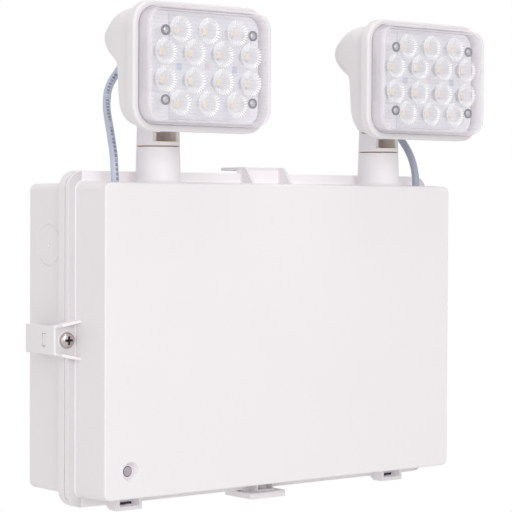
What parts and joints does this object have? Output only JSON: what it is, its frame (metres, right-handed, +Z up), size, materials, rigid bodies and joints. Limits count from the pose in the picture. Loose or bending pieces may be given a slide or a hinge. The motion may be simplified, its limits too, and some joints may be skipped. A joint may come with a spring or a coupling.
{
  "type": "emergency twin spotlight",
  "caption": "Wall-mounted emergency light: sealed battery box with swivelling, tilting spotlight heads on posts and a status lamp.",
  "frame": {"origin": "centre of the back box's rear face, which lies on the wall", "axes": "+X to the viewer's right, +Y into the wall, +Z up; the front faces -Y"},
  "size_m": [0.2674, 0.0974, 0.2603],
  "materials": {
    "white_shell": "white moulded ABS, satin",
    "clear_plastic": "clear polycarbonate",
    "seal_rubber": "soft brown-grey seal",
    "screw_steel": "zinc-plated steel",
    "black_plastic": "black moulded plastic",
    "cell_can": "sleeved cell or capacitor can",
    "green_board": "green circuit board",
    "transformer_core": "laminated core with winding",
    "heat_metal": "plain aluminium",
    "white_board": "white LED board",
    "led_phosphor": "yellow LED phosphor",
    "cable_jacket": "pale blue-grey cable jacket"
  },
  "bodies": {
    "enclosure": {"back_box": "white_shell", "perimeter_gasket": "seal_rubber", "front_cover": "white_shell", "cover_screws": "screw_steel", "status_lamp": "clear_plastic", "status_lamp_holder": "black_plastic", "battery_tray": "black_plastic", "battery_cells": "cell_can", "battery_strap": "black_plastic", "charger_board": "green_board", "charger_board_screws": "screw_steel", "transformer": "transformer_core", "relay": "black_plastic", "capacitors": "cell_can", "terminal_block": "green_board", "terminal_screws": "screw_steel", "left_cable_bush": "seal_rubber", "right_cable_bush": "seal_rubber", "left_cable_lower": "cable_jacket", "right_cable_lower": "cable_jacket"},
    "left_yoke": {"left_yoke": "white_shell", "left_swivel_washer": "screw_steel", "left_swivel_screw": "screw_steel", "left_tilt_bolt": "screw_steel", "left_tilt_nut": "screw_steel"},
    "left_head": {"left_head_housing": "white_shell", "left_head_gasket": "seal_rubber", "left_head_bezel": "white_shell", "left_head_lens": "clear_plastic", "left_heat_plate": "heat_metal", "left_led_board": "white_board", "left_led_chips": "led_phosphor", "left_collimators": "clear_plastic", "left_board_screws": "screw_steel", "left_cable_gland": "white_shell", "left_cable_upper": "cable_jacket"},
    "right_yoke": {"right_yoke": "white_shell", "right_swivel_washer": "screw_steel", "right_swivel_screw": "screw_steel", "right_tilt_bolt": "screw_steel", "right_tilt_nut": "screw_steel"},
    "right_head": {"right_head_housing": "white_shell", "right_head_gasket": "seal_rubber", "right_head_bezel": "white_shell", "right_head_lens": "clear_plastic", "right_heat_plate": "heat_metal", "right_led_board": "white_board", "right_led_chips": "led_phosphor", "right_collimators": "clear_plastic", "right_board_screws": "screw_steel", "right_cable_gland": "white_shell", "right_cable_upper": "cable_jacket"}
  },
  "joints": [
    {"name": "left_pan", "type": "hinge", "parent": "enclosure", "child": "left_yoke", "pos_m": [-0.077, -0.0513, 0.099], "axis": [0, 0, 1], "range_deg": [-90, 90], "deforming": ["left_cable_lower", "left_cable_upper"]},
    {"name": "left_tilt", "type": "hinge", "parent": "left_yoke", "child": "left_head", "pos_m": [-0.077, -0.0513, 0.1145], "axis": [1, 0, 0], "range_deg": [-45, 28], "deforming": ["left_cable_lower", "left_cable_upper"]},
    {"name": "right_pan", "type": "hinge", "parent": "enclosure", "child": "right_yoke", "pos_m": [0.077, -0.0513, 0.099], "axis": [0, 0, 1], "range_deg": [-90, 90], "deforming": ["right_cable_lower", "right_cable_upper"]},
    {"name": "right_tilt", "type": "hinge", "parent": "right_yoke", "child": "right_head", "pos_m": [0.077, -0.0513, 0.1145], "axis": [1, 0, 0], "range_deg": [-45, 28], "deforming": ["right_cable_lower", "right_cable_upper"]}
  ]
}
